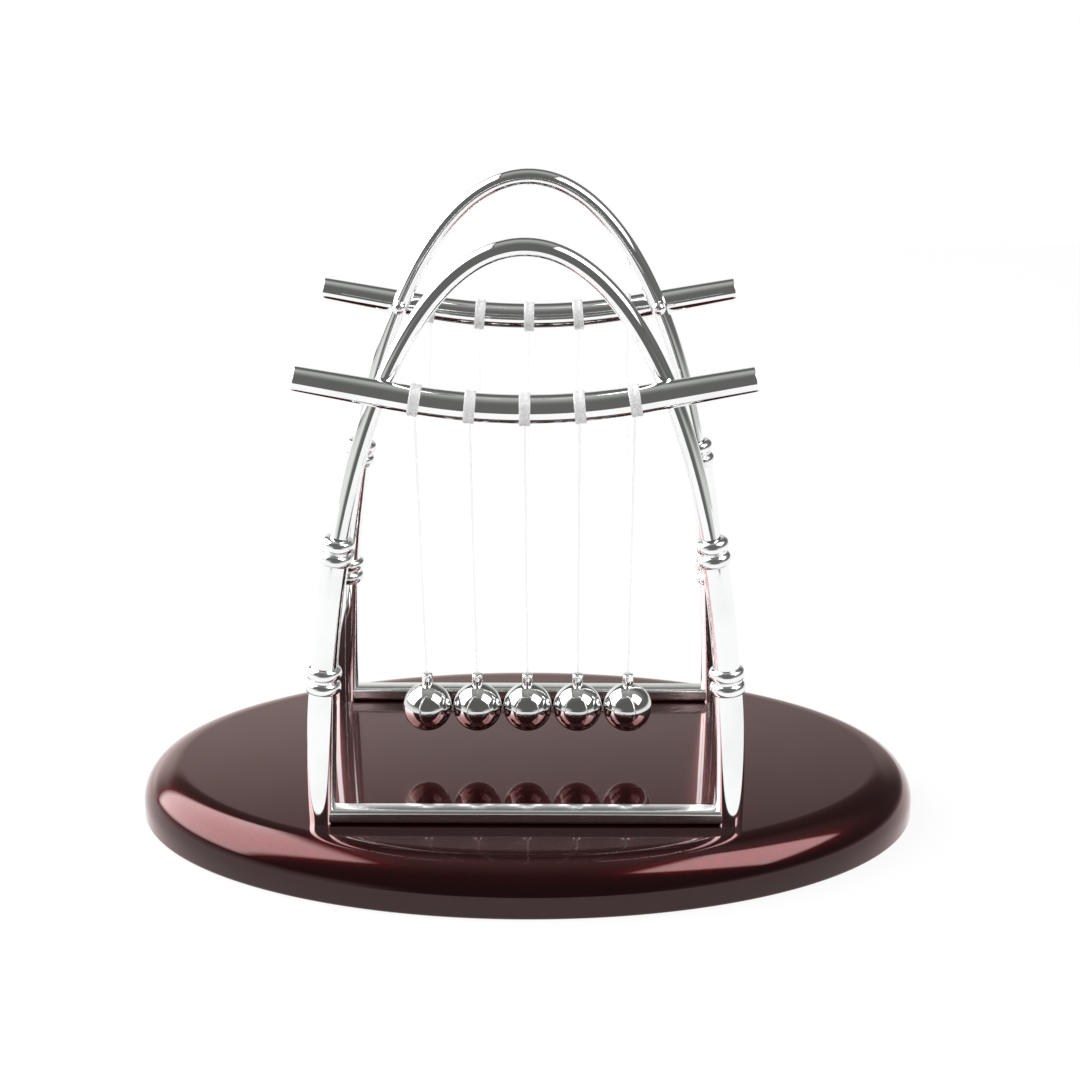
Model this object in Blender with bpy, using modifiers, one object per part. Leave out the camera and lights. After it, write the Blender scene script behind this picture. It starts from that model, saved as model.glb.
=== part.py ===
# Desk cradle: five steel balls on nylon lines between two arched chrome frames on an oval lacquered base.
# Metres, +Z up. The origin is the centre of the base's underside, and +X runs along the row of balls.

import math

import bmesh
import bpy
from mathutils import Matrix, Vector

# Base
BASE_LENGTH = 0.180
BASE_DEPTH = 0.123
BASE_THICK = 0.0124
BASE_TOP_ROUND = 0.009
BASE_FOOT_ROUND = 0.0008
BASE_SIDES = 56
BASE_ROUND_STEPS = 5

# Frame: both arches follow one curve, x = half span * cos(t), height = arch height * sin(t) ** fullness
FRAME_SPACING = 0.0735
FRAME_SPAN = 0.0905
ARCH_HEIGHT = 0.1302
ARCH_FULLNESS = 0.89
ARCH_DIAMETER = 0.0040
ARCH_STEPS = 30

# Legs: a lower and an upper rod, joined by double-bead collars over their spigots
LEG_FOOT_DIAMETER = 0.0058
LEG_BELLY_DIAMETER = 0.0066
LEG_NECK_DIAMETER = 0.0062
LEG_UPPER_DIAMETER = 0.0059
LEG_SOCKET_DEPTH = 0.0050
COLLAR_LOW_HEIGHT = 0.0337
COLLAR_HIGH_HEIGHT = 0.0633
COLLAR_LOW_DIAMETER = 0.0079
COLLAR_HIGH_DIAMETER = 0.0073
COLLAR_LENGTH = 0.0060
COLLAR_GROOVE = 0.0005
COLLAR_BEAD_RISE = 0.0007
COLLAR_BEAD_EDGE = 0.0006
SHOULDER_RUN = 0.0001

# Crossbar between the feet of a frame
CROSSBAR_DIAMETER = 0.0040
CROSSBAR_LIFT = 0.0004
CROSSBAR_TENON = 0.0012

# Rail: an arc in the middle with straight ends, a little thicker in the middle
RAIL_LENGTH = 0.0974
RAIL_HEIGHT = 0.0961
RAIL_OFFSET = 0.0032
RAIL_BEND_RADIUS = 0.139
RAIL_BEND_HALF = 0.0255
RAIL_MID_DIAMETER = 0.0062
RAIL_END_DIAMETER = 0.0054
RAIL_STEPS = 20

# Rivet that holds a rail on its arch
RIVET_DIAMETER = 0.0016
RIVET_HEAD_DIAMETER = 0.0034
RIVET_HEAD_HEIGHT = 0.0011
RIVET_REACH = 0.0042

# Clips, lines and balls
BALL_COUNT = 5
BALL_DIAMETER = 0.01136
BALL_GAP = 0.0003
BALL_HEIGHT = 0.01256
CLIP_WIDTH = 0.0024
CLIP_WALL = 0.0006
STUD_DIAMETER = 0.0025
STUD_HEIGHT = 0.0026
STUD_CHAMFER = 0.0003
STUD_SHANK_DIAMETER = 0.0016
STUD_SHANK_DEPTH = 0.0028
EYE_DIAMETER = 0.0011
EYE_HEIGHT = 0.0014
EYE_RUN = 0.0005
LINE_DIAMETER = 0.0004
LINE_BEND = 0.0012

# Screws from below
SCREW_DIAMETER = 0.0024
SCREW_HEAD_DIAMETER = 0.0052
SCREW_HEAD_HEIGHT = 0.0018
SCREW_GRIP = 0.0044
SCREW_CHAMFER = 0.0004
COUNTERBORE_DEPTH = 0.0030

# Clearances, and how far a cutter runs past the face that it opens
SEAT_GAP = 0.0003
BORE_GAP = 0.00022
CUT_MARGIN = 0.001

# Facets
ROD_SIDES = 12
ARCH_SIDES = 12
LINE_SIDES = 6
TURNED_SIDES = 12
SOCKET_SIDES = 16
BALL_SEGMENTS = 20
BALL_RINGS = 10
LEG_LOWER_STEPS = 4
LEG_UPPER_STEPS = 2
DOME_STEPS = 3
BEND_STEPS = 4
SHARP_ANGLE = math.radians(40)
MERGE_DISTANCE = 1e-6
HALVINGS = 40

# Derived values
BALL_PITCH = BALL_DIAMETER + BALL_GAP
HALF_SPAN = FRAME_SPAN / 2
ARCH_RADIUS = ARCH_DIAMETER / 2
RAIL_Y = FRAME_SPACING / 2 + RAIL_OFFSET
CROSSBAR_HEIGHT = CROSSBAR_DIAMETER / 2 + CROSSBAR_LIFT
FRAMES = {"front": -1, "rear": 1}
SIDES = {"left": -1, "right": 1}
BASE_RIMS = {"top_rim": 1, "foot_rim": -1}


def clear_scene():
    for item in list(bpy.data.objects):
        bpy.data.objects.remove(item, do_unlink=True)


def new_collection(name):
    collection = bpy.data.collections.new(name)
    bpy.context.scene.collection.children.link(collection)
    return collection


def new_finish(name, colour, metallic, roughness):
    material = bpy.data.materials.new(name)
    material.use_nodes = True
    shader = material.node_tree.nodes["Principled BSDF"]
    shader.inputs["Base Color"].default_value = (*colour, 1.0)
    shader.inputs["Metallic"].default_value = metallic
    shader.inputs["Roughness"].default_value = roughness
    return material


def add_part(name, data, finish, matrix=Matrix.Identity(4), parent=None):
    item = bpy.data.objects.new(name, data)
    data.materials.append(finish)
    parts.objects.link(item)
    item.parent = parent
    item.matrix_local = matrix
    return item


def add_cutter(name, data, matrix=Matrix.Identity(4), parent=None):
    item = bpy.data.objects.new(name, data)
    cutters.objects.link(item)
    item.parent = parent
    item.matrix_local = matrix
    item.hide_render = True
    item.display_type = "WIRE"
    return item


def cut(item, cutter):
    modifier = item.modifiers.new("cut " + cutter.name, "BOOLEAN")
    modifier.operation = "DIFFERENCE"
    modifier.object = cutter


# Matrix that puts a shape made along +Z at a place, along a direction.
def aim(place, direction):
    turn = Vector((0, 0, 1)).rotation_difference(Vector(direction))
    return Matrix.Translation(place) @ turn.to_matrix().to_4x4()


# Closed mesh of a round bar along the points, with a radius at each of them.
def round_bar(name, points, radii, sides):
    curve = bpy.data.curves.new(name, "CURVE")
    curve.dimensions = "3D"
    curve.bevel_depth = max(radii)
    curve.bevel_resolution = sides // 2 - 2
    curve.use_fill_caps = True
    spline = curve.splines.new("POLY")
    spline.points.add(len(points) - 1)
    for knot, point, radius in zip(spline.points, points, radii):
        knot.co = (*point, 1.0)
        knot.radius = radius / max(radii)
    guide = bpy.data.objects.new(name + " guide", curve)
    cutters.objects.link(guide)
    bpy.context.view_layer.update()
    shape = guide.evaluated_get(bpy.context.evaluated_depsgraph_get())
    mesh = bpy.data.meshes.new_from_object(shape)
    mesh.name = name
    bpy.data.objects.remove(guide, do_unlink=True)
    work = bmesh.new()
    work.from_mesh(mesh)
    bmesh.ops.remove_doubles(work, verts=work.verts, dist=MERGE_DISTANCE)
    bmesh.ops.recalc_face_normals(work, faces=work.faces)
    work.to_mesh(mesh)
    work.free()
    mesh.shade_smooth()
    mesh.set_sharp_from_angle(angle=SHARP_ANGLE)
    return mesh


# Mesh of a profile of (radius, height) points turned about Z, outer side from top to bottom.
def turned(name, profile, closed=False, sides=TURNED_SIDES):
    work = bmesh.new()
    verts = [work.verts.new((radius, 0, height)) for radius, height in profile]
    pairs = list(zip(verts, verts[1:]))
    if closed:
        pairs.append((verts[-1], verts[0]))
    for pair in pairs:
        work.edges.new(pair)
    mesh = bpy.data.meshes.new(name)
    work.to_mesh(mesh)
    work.free()
    guide = bpy.data.objects.new(name + " guide", mesh)
    cutters.objects.link(guide)
    screw = guide.modifiers.new("turn", "SCREW")
    screw.steps = sides
    screw.render_steps = sides
    screw.use_merge_vertices = True
    screw.merge_threshold = MERGE_DISTANCE
    bpy.context.view_layer.update()
    shape = guide.evaluated_get(bpy.context.evaluated_depsgraph_get())
    solid = bpy.data.meshes.new_from_object(shape)
    solid.name = name
    bpy.data.objects.remove(guide, do_unlink=True)
    solid.shade_smooth()
    solid.set_sharp_from_angle(angle=SHARP_ANGLE)
    return solid


def spread(start, end, steps):
    return [start + (end - start) * step / steps for step in range(steps + 1)]


def frame_point(t, y):
    rise = math.sin(t) ** ARCH_FULLNESS
    return Vector((HALF_SPAN * math.cos(t), y, BASE_THICK + ARCH_HEIGHT * rise))


def frame_angle(height):
    return math.asin((height / ARCH_HEIGHT) ** (1 / ARCH_FULLNESS))


# Point of a leg's axis at a height above the base's top, straight down inside the base.
def leg_point(height, side, y):
    if height <= 0:
        return Vector((side * HALF_SPAN, y, BASE_THICK + height))
    point = frame_point(frame_angle(height), y)
    return Vector((side * point.x, y, point.z))


def leg_direction(height, side):
    step = 0.0005
    return (leg_point(height + step, side, 0) - leg_point(height - step, side, 0)).normalized()


def rail_height(x):
    bent = min(abs(x), RAIL_BEND_HALF)
    straight = abs(x) - bent
    rise = bent**2 / 2 + straight * RAIL_BEND_HALF
    return BASE_THICK + RAIL_HEIGHT + rise / RAIL_BEND_RADIUS


def rail_slope(x):
    return math.copysign(min(abs(x), RAIL_BEND_HALF) / RAIL_BEND_RADIUS, x)


def rail_radius(x):
    swell = RAIL_MID_DIAMETER - RAIL_END_DIAMETER
    return (RAIL_END_DIAMETER + swell * (1 - (2 * x / RAIL_LENGTH) ** 2)) / 2


# Place where an arch's axis passes behind its rail's axis, found by halving.
def crossing():
    low = frame_angle(COLLAR_HIGH_HEIGHT)
    high = math.pi / 2
    for step in range(HALVINGS):
        middle = (low + high) / 2
        point = frame_point(middle, 0)
        if point.z < rail_height(point.x):
            low = middle
        else:
            high = middle
    return frame_point(low, 0)


def base_mesh():
    work = bmesh.new()
    bmesh.ops.create_cone(
        work, cap_ends=True, segments=BASE_SIDES, radius1=0.5, radius2=0.5, depth=BASE_THICK,
        matrix=Matrix.Translation((0, 0, BASE_THICK / 2)),
    )
    bmesh.ops.scale(work, vec=(BASE_LENGTH, BASE_DEPTH, 1), verts=work.verts)
    mesh = bpy.data.meshes.new("base")
    work.to_mesh(mesh)
    work.free()
    for name, sign in BASE_RIMS.items():
        weights = mesh.attributes.new(name, "FLOAT", "EDGE")
        for edge in mesh.edges:
            ends = [mesh.vertices[index].co.z - BASE_THICK / 2 for index in edge.vertices]
            weights.data[edge.index].value = float(min(sign * end for end in ends) > 0)
    mesh.shade_smooth()
    return mesh


def round_rim(base, rim, width, segments):
    rounding = base.modifiers.new("round " + rim, "BEVEL")
    rounding.limit_method = "WEIGHT"
    rounding.edge_weight = rim
    rounding.width = width
    rounding.segments = segments


def build_base():
    base = add_part("base", base_mesh(), lacquer)
    round_rim(base, "top_rim", BASE_TOP_ROUND, BASE_ROUND_STEPS)
    round_rim(base, "foot_rim", BASE_FOOT_ROUND, 1)
    socket = BASE_THICK - LEG_SOCKET_DEPTH
    foot = LEG_FOOT_DIAMETER / 2 + BORE_GAP
    hole = SCREW_DIAMETER / 2 + SEAT_GAP
    head = SCREW_HEAD_DIAMETER / 2 + 2 * SEAT_GAP
    profile = [
        (0, BASE_THICK + CUT_MARGIN), (foot, BASE_THICK + CUT_MARGIN), (foot, socket), (hole, socket),
        (hole, COUNTERBORE_DEPTH), (head, COUNTERBORE_DEPTH), (head, -CUT_MARGIN), (0, -CUT_MARGIN),
    ]
    for frame, depth in FRAMES.items():
        for side, sign in SIDES.items():
            name = f"socket_{frame}_{side}"
            place = Matrix.Translation((sign * HALF_SPAN, depth * FRAME_SPACING / 2, 0))
            cut(base, add_cutter(name, turned(name, profile, sides=SOCKET_SIDES), place))


def build_screw(tag, sign, y):
    under = COUNTERBORE_DEPTH - SEAT_GAP
    tip = BASE_THICK - LEG_SOCKET_DEPTH + SEAT_GAP + SCREW_GRIP
    shank = SCREW_DIAMETER / 2
    head = SCREW_HEAD_DIAMETER / 2
    chamfer = SCREW_CHAMFER
    profile = [
        (0, tip), (shank - chamfer, tip), (shank, tip - chamfer), (shank, under), (head, under),
        (head, under - SCREW_HEAD_HEIGHT + chamfer), (head - chamfer, under - SCREW_HEAD_HEIGHT),
        (0, under - SCREW_HEAD_HEIGHT),
    ]
    name = "screw_" + tag
    add_part(name, turned(name, profile), zinc, Matrix.Translation((sign * HALF_SPAN, y, 0)))


def build_lower_leg(tag, sign, y):
    name = "leg_lower_" + tag
    bottom = SEAT_GAP - LEG_SOCKET_DEPTH
    shoulder = COLLAR_LOW_HEIGHT - COLLAR_LENGTH / 2 - SEAT_GAP
    heights = [bottom] + spread(0, shoulder, LEG_LOWER_STEPS)
    radii = []
    for height in heights:
        part = max(height, 0) / shoulder
        straight = LEG_FOOT_DIAMETER + (LEG_NECK_DIAMETER - LEG_FOOT_DIAMETER) * part
        belly = LEG_BELLY_DIAMETER - (LEG_FOOT_DIAMETER + LEG_NECK_DIAMETER) / 2
        radii.append((straight + belly * 4 * part * (1 - part)) / 2)
    heights += [shoulder + SHOULDER_RUN, COLLAR_LOW_HEIGHT - SEAT_GAP / 2]
    radii += [ARCH_RADIUS, ARCH_RADIUS]
    points = [leg_point(height, sign, y) for height in heights]
    leg = add_part(name, round_bar(name, points, radii, ROD_SIDES), chrome)
    bore = "bore_" + tag
    depth = SCREW_GRIP + SEAT_GAP
    radius = SCREW_DIAMETER / 2 + BORE_GAP
    low = BASE_THICK + bottom
    profile = [(0, low + depth), (radius, low + depth), (radius, low - CUT_MARGIN), (0, low - CUT_MARGIN)]
    place = Matrix.Translation((sign * HALF_SPAN, y, 0))
    cut(leg, add_cutter(bore, turned(bore, profile), place))
    tenon = "tenon_socket_" + tag
    radius = CROSSBAR_DIAMETER / 2 + BORE_GAP
    inner = HALF_SPAN - LEG_FOOT_DIAMETER / 2 + CROSSBAR_TENON + SEAT_GAP
    outer = inner - LEG_BELLY_DIAMETER
    profile = [(0, inner), (radius, inner), (radius, outer), (0, outer)]
    place = aim((0, y, BASE_THICK + CROSSBAR_HEIGHT), (sign, 0, 0))
    cut(leg, add_cutter(tenon, turned(tenon, profile), place))


def build_upper_leg(tag, sign, y):
    name = "leg_upper_" + tag
    low = COLLAR_LOW_HEIGHT + COLLAR_LENGTH / 2 + SEAT_GAP
    high = COLLAR_HIGH_HEIGHT - COLLAR_LENGTH / 2 - SEAT_GAP
    body = spread(low, high, LEG_UPPER_STEPS)
    heights = [COLLAR_LOW_HEIGHT + SEAT_GAP / 2, low - SHOULDER_RUN] + body
    heights += [high + SHOULDER_RUN, COLLAR_HIGH_HEIGHT - SEAT_GAP / 2]
    spigot = [ARCH_RADIUS, ARCH_RADIUS]
    radii = spigot + [LEG_UPPER_DIAMETER / 2] * len(body) + spigot
    points = [leg_point(height, sign, y) for height in heights]
    add_part(name, round_bar(name, points, radii, ROD_SIDES), chrome)


# Two rounded beads with a groove between them, round one bore for the spigots and the arch.
def collar_profile(diameter):
    outer = diameter / 2
    groove = outer - COLLAR_BEAD_RISE
    bead = (COLLAR_LENGTH - COLLAR_GROOVE) / 2
    edge = COLLAR_BEAD_EDGE
    profile = []
    for top in (COLLAR_LENGTH / 2, -COLLAR_GROOVE / 2):
        profile += [(groove, top), (outer, top - edge), (outer, top - bead + edge), (groove, top - bead)]
    bore = ARCH_RADIUS + BORE_GAP
    return profile + [(bore, -COLLAR_LENGTH / 2), (bore, COLLAR_LENGTH / 2)]


def build_collar(name, height, diameter, sign, y):
    place = aim(leg_point(height, sign, y), leg_direction(height, sign))
    add_part(name, turned(name, collar_profile(diameter), closed=True), chrome, place)


def arch_points(y):
    start = frame_angle(COLLAR_HIGH_HEIGHT + SEAT_GAP / 2)
    return [frame_point(t, y) for t in spread(start, math.pi - start, ARCH_STEPS)]


def build_arch(frame, y):
    name = "arch_" + frame
    points = arch_points(y)
    return add_part(name, round_bar(name, points, [ARCH_RADIUS] * len(points), ARCH_SIDES), chrome)


def build_crossbar(frame, y):
    name = "crossbar_" + frame
    reach = HALF_SPAN - LEG_FOOT_DIAMETER / 2 + CROSSBAR_TENON
    height = BASE_THICK + CROSSBAR_HEIGHT
    points = [Vector((-reach, y, height)), Vector((reach, y, height))]
    add_part(name, round_bar(name, points, [CROSSBAR_DIAMETER / 2] * 2, ROD_SIDES), satin)


def build_rail(frame, sign):
    name = "rail_" + frame
    stations = spread(-RAIL_LENGTH / 2, RAIL_LENGTH / 2, RAIL_STEPS)
    points = [Vector((x, sign * RAIL_Y, rail_height(x))) for x in stations]
    radii = [rail_radius(x) for x in stations]
    rail = add_part(name, round_bar(name, points, radii, ROD_SIDES), chrome)
    saddle = "saddle_" + frame
    points = arch_points(sign * FRAME_SPACING / 2)
    seat = [ARCH_RADIUS + SEAT_GAP] * len(points)
    cut(rail, add_cutter(saddle, round_bar(saddle, points, seat, ARCH_SIDES)))
    return rail


# Dome head on the arch's inner side, shank through the arch into the rail.
def build_rivet(tag, arch, rail, sign, depth):
    name = "rivet_" + tag
    spot = crossing()
    place = aim((sign * spot.x, depth * FRAME_SPACING / 2, spot.z), (0, -depth, 0))
    seat = ARCH_RADIUS + SEAT_GAP
    shank = RIVET_DIAMETER / 2
    head = RIVET_HEAD_DIAMETER / 2
    profile = []
    for turn in spread(math.pi / 2, 0, DOME_STEPS):
        profile.append((head * math.cos(turn), seat + RIVET_HEAD_HEIGHT * math.sin(turn)))
    profile[0] = (0, profile[0][1])
    profile += [(shank, seat), (shank, -RIVET_REACH), (0, -RIVET_REACH)]
    add_part(name, turned(name, profile), chrome, place)
    hole = "rivet_hole_" + tag
    radius = shank + BORE_GAP
    end = -RIVET_REACH - SEAT_GAP
    profile = [(0, seat), (radius, seat), (radius, end), (0, end)]
    cutter = add_cutter(hole, turned(hole, profile), place)
    cut(arch, cutter)
    cut(rail, cutter)


def build_clip(frame, sign, number, x):
    name = f"clip_{frame}_{number}"
    inner = rail_radius(x) + BORE_GAP
    outer = inner + CLIP_WALL
    half = CLIP_WIDTH / 2
    chamfer = CLIP_WALL / 2
    profile = [
        (inner, half), (outer - chamfer, half), (outer, half - chamfer),
        (outer, chamfer - half), (outer - chamfer, -half), (inner, -half),
    ]
    place = aim((x, sign * RAIL_Y, rail_height(x)), (1, 0, rail_slope(x)))
    add_part(name, turned(name, profile, closed=True), milky, place)


# Half of a line, from its clip down to the middle of the eye, around a small bend.
def line_points(x, eye):
    rail = Vector((0, -RAIL_Y, rail_height(x)))
    corner = Vector((0, -STUD_DIAMETER / 2 - EYE_RUN, eye))
    climb = (rail - corner).normalized()
    reach = rail_radius(x) + BORE_GAP + CLIP_WALL + SEAT_GAP + LINE_DIAMETER / 2
    start = corner + climb * LINE_BEND
    end = corner + Vector((0, 1, 0)) * EYE_RUN
    points = [rail - climb * reach]
    for part in spread(0, 1, BEND_STEPS):
        points.append(start * (1 - part) ** 2 + corner * 2 * part * (1 - part) + end * part**2)
    return points


def build_ball(number, x):
    top = BASE_THICK + BALL_HEIGHT + BALL_DIAMETER / 2
    eye = top + EYE_HEIGHT
    half = line_points(x, eye)
    pivot = Vector((x, 0, half[0].z))
    swing = bpy.data.objects.new(f"swing_{number}", None)
    swing.location = pivot
    parts.objects.link(swing)

    name = f"ball_{number}"
    work = bmesh.new()
    bmesh.ops.create_uvsphere(work, u_segments=BALL_SEGMENTS, v_segments=BALL_RINGS, radius=BALL_DIAMETER / 2)
    mesh = bpy.data.meshes.new(name)
    work.to_mesh(mesh)
    work.free()
    mesh.shade_smooth()
    centre = Matrix.Translation((0, 0, BASE_THICK + BALL_HEIGHT - pivot.z))
    ball = add_part(name, mesh, chrome, centre, swing)
    pit = f"stud_hole_{number}"
    radius = STUD_SHANK_DIAMETER / 2 + BORE_GAP
    floor = BALL_DIAMETER / 2 - STUD_SHANK_DEPTH - SEAT_GAP
    profile = [(0, BALL_DIAMETER), (radius, BALL_DIAMETER), (radius, floor), (0, floor)]
    cut(ball, add_cutter(pit, turned(pit, profile), centre, swing))

    name = f"stud_{number}"
    shank = STUD_SHANK_DIAMETER / 2
    outer = STUD_DIAMETER / 2
    chamfer = STUD_CHAMFER
    seat = SEAT_GAP / 3
    profile = [
        (0, STUD_HEIGHT), (outer - chamfer, STUD_HEIGHT), (outer, STUD_HEIGHT - chamfer), (outer, seat),
        (shank, seat), (shank, -STUD_SHANK_DEPTH), (0, -STUD_SHANK_DEPTH),
    ]
    crown = Matrix.Translation((0, 0, top - pivot.z))
    stud = add_part(name, turned(name, profile), chrome, crown, swing)
    hole = f"eye_{number}"
    radius = EYE_DIAMETER / 2
    profile = [(0, STUD_DIAMETER), (radius, STUD_DIAMETER), (radius, -STUD_DIAMETER), (0, -STUD_DIAMETER)]
    place = crown @ aim((0, 0, EYE_HEIGHT), (0, 1, 0))
    cut(stud, add_cutter(hole, turned(hole, profile), place, swing))

    name = f"line_{number}"
    mirrored = [Vector((0, -point.y, point.z)) for point in reversed(half)]
    points = [point - Vector((0, 0, pivot.z)) for point in half + mirrored]
    mesh = round_bar(name, points, [LINE_DIAMETER / 2] * len(points), LINE_SIDES)
    add_part(name, mesh, nylon, parent=swing)


def build_frame(frame, depth):
    y = depth * FRAME_SPACING / 2
    for side, sign in SIDES.items():
        tag = f"{frame}_{side}"
        build_screw(tag, sign, y)
        build_lower_leg(tag, sign, y)
        build_upper_leg(tag, sign, y)
        build_collar("collar_low_" + tag, COLLAR_LOW_HEIGHT, COLLAR_LOW_DIAMETER, sign, y)
        build_collar("collar_high_" + tag, COLLAR_HIGH_HEIGHT, COLLAR_HIGH_DIAMETER, sign, y)
    build_crossbar(frame, y)
    arch = build_arch(frame, y)
    rail = build_rail(frame, depth)
    for side, sign in SIDES.items():
        build_rivet(f"{frame}_{side}", arch, rail, sign, depth)


clear_scene()
parts = new_collection("newtons_cradle")
cutters = new_collection("cutters")
lacquer = new_finish("cherry lacquer", (0.10, 0.012, 0.016), 0.0, 0.08)
chrome = new_finish("chrome", (0.86, 0.87, 0.88), 1.0, 0.04)
satin = new_finish("satin plate", (0.84, 0.84, 0.83), 1.0, 0.38)
zinc = new_finish("zinc", (0.62, 0.63, 0.65), 1.0, 0.35)
nylon = new_finish("nylon", (0.90, 0.90, 0.92), 0.0, 0.25)
milky = new_finish("milky plastic", (0.90, 0.90, 0.89), 0.0, 0.20)

build_base()
for frame_name, frame_side in FRAMES.items():
    build_frame(frame_name, frame_side)
for index in range(BALL_COUNT):
    position = (index - (BALL_COUNT - 1) / 2) * BALL_PITCH
    for frame_name, frame_side in FRAMES.items():
        build_clip(frame_name, frame_side, index + 1, position)
    build_ball(index + 1, position)
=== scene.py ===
import math

import bmesh
import bpy
from mathutils import Matrix, Vector


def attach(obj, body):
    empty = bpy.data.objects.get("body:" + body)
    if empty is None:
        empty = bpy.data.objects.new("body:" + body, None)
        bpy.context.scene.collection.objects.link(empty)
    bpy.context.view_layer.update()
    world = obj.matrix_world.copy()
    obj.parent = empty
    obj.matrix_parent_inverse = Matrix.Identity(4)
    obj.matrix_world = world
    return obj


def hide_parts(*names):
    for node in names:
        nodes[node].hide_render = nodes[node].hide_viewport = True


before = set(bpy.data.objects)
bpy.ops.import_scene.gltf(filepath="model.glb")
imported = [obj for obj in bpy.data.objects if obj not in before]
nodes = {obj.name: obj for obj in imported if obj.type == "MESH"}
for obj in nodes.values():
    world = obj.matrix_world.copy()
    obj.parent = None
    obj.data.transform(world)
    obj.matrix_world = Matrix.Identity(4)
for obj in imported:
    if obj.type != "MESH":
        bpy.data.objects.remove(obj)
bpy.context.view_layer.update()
print("frame loaded:", len(nodes), "nodes")

sides = {"left": -1, "right": 1}
frames = {"front": -1, "rear": 1}
sharpAngle = math.radians(38)
nearly = 1e-6  # two heights closer than this are the same
weld = 1e-7  # two vertices closer than this are merged
rowAxis = Vector((1, 0, 0))
depthAxis = Vector((0, 1, 0))


class Wire:
    # one output socket; sums and products of wires add Math nodes

    def __init__(self, tree, socket=None):
        self.tree = tree
        self.socket = socket

    def feed(self, socket, value):
        if isinstance(value, Wire):
            self.tree.links.new(value.socket, socket)
        else:
            socket.default_value = value

    def make(self, kind, settings=None, inputs=None, output=0):
        node = self.tree.nodes.new(kind)
        for key, value in (settings or {}).items():
            if key == "stops":  # a ramp's two (place, grey) pairs
                for stop, (place, grey) in zip(node.color_ramp.elements, value):
                    stop.position = place
                    stop.color = (grey, grey, grey, 1)
            else:
                setattr(node, key, value)
        for key, value in (inputs or {}).items():
            self.feed(node.inputs[key], value)
        return Wire(self.tree, node.outputs[output]) if node.outputs else None

    def maths(self, operation, first, second):
        return self.make("ShaderNodeMath", {"operation": operation}, {0: first, 1: second})

    def __add__(self, other):
        return self.maths("ADD", self, other)

    def __rsub__(self, other):
        return self.maths("SUBTRACT", other, self)

    def __mul__(self, other):
        return self.maths("MULTIPLY", self, other)

    __radd__ = __add__
    __rmul__ = __mul__

    def scaled(self, colour):  # the colour times this wire
        return self.make("ShaderNodeMix", {"data_type": "RGBA"}, {0: self, 6: (0, 0, 0, 1), 7: colour}, 2)

    def tint(self, low, high):  # colour between low and high
        inputs = {0: self, 6: (*low, 1), 7: (*high, 1)}
        return self.make("ShaderNodeMix", {"data_type": "RGBA"}, inputs, 2)


def startFinish(name, fixed):
    finish = bpy.data.materials.new(name)
    finish.use_nodes = True
    shader = finish.node_tree.nodes["Principled BSDF"]
    for socket, value in fixed.items():
        shader.inputs[socket].default_value = value
    return finish, shader, Wire(finish.node_tree)


def grain(root, scale, detail=4.0, stretch=None):
    place = root.make("ShaderNodeTexCoord", output="Object")
    if stretch:
        place = root.make("ShaderNodeMapping", inputs={"Vector": place, "Scale": stretch})
    return root.make("ShaderNodeTexNoise", inputs={"Vector": place, "Scale": scale, "Detail": detail})


def ripple(root, height, strength, depth):
    return root.make("ShaderNodeBump", inputs={"Height": height, "Strength": strength, "Distance": depth})


def fade(wire, start, end):  # 0 at start, 1 at end
    inputs = {"Value": wire, "From Min": start, "From Max": end}
    return wire.make("ShaderNodeMapRange", {"interpolation_type": "SMOOTHSTEP"}, inputs)


# Finishes

smudgeStops = [(0.48, 0), (0.75, 1)]  # clean metal up to the first place

chromeLook = {
    "bright": (0.93, 0.935, 0.935), "dull": (0.85, 0.86, 0.865), "roughness": 0.04, "smudge": 0.05,
    "smudgeScale": 70, "waveScale": 210, "waveStrength": 0.05, "waveDepth": 0.00006,
}


def plated(name, look):
    finish, shader, root = startFinish(name, {"Metallic": 1.0})
    patches = grain(root, look["smudgeScale"], 6)
    smudge = root.make("ShaderNodeValToRGB", {"stops": smudgeStops}, {"Fac": patches})
    root.feed(shader.inputs["Base Color"], smudge.tint(look["bright"], look["dull"]))
    root.feed(shader.inputs["Roughness"], look["roughness"] + look["smudge"] * smudge)
    wave = ripple(root, grain(root, look["waveScale"], 2), look["waveStrength"], look["waveDepth"])
    root.feed(shader.inputs["Normal"], wave)
    return finish


ballLook = {
    "bright": (0.74, 0.745, 0.74), "dull": (0.68, 0.685, 0.68), "roughness": 0.02, "smudge": 0.04,
    "smudgeScale": 160, "waveScale": 700, "waveStrength": 0.02, "waveDepth": 0.00003,
}

castLook = {
    "bright": (0.93, 0.935, 0.935), "dull": (0.86, 0.865, 0.87), "roughness": 0.15, "smudge": 0.06,
    "smudgeScale": 190, "waveScale": 600, "waveStrength": 0.04, "waveDepth": 0.00004,
}

satinLook = {
    "bright": (0.97, 0.965, 0.96), "dull": (0.92, 0.92, 0.915), "roughness": 0.15, "smudge": 0.04,
    "smudgeScale": 120, "waveScale": 900, "waveStrength": 0.03, "waveDepth": 0.00003,
}

lacquerLook = {
    "deep": (0.039, 0.0015, 0.0023), "flake": (0.068, 0.0034, 0.0050), "metal": 0.9, "roughness": 0.16,
    "specular": 0.1, "edgeTint": (1.0, 0.72, 0.72, 1.0), "lowRimRise": (0.004, 0.0095), "thin": 0.4,
    "flakeScale": 2600, "flakeShare": 0.6, "flakeStrength": 0.05, "flakeDepth": 0.00004,
    "cloudScale": 38, "cloudShare": 0.4, "cloudRoughness": 0.06,
    "coatIor": 1.45, "coatRoughness": 0.03, "wipeScale": 90, "wipeStops": [(0.35, 1), (0.8, 0.93)],
}


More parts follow.
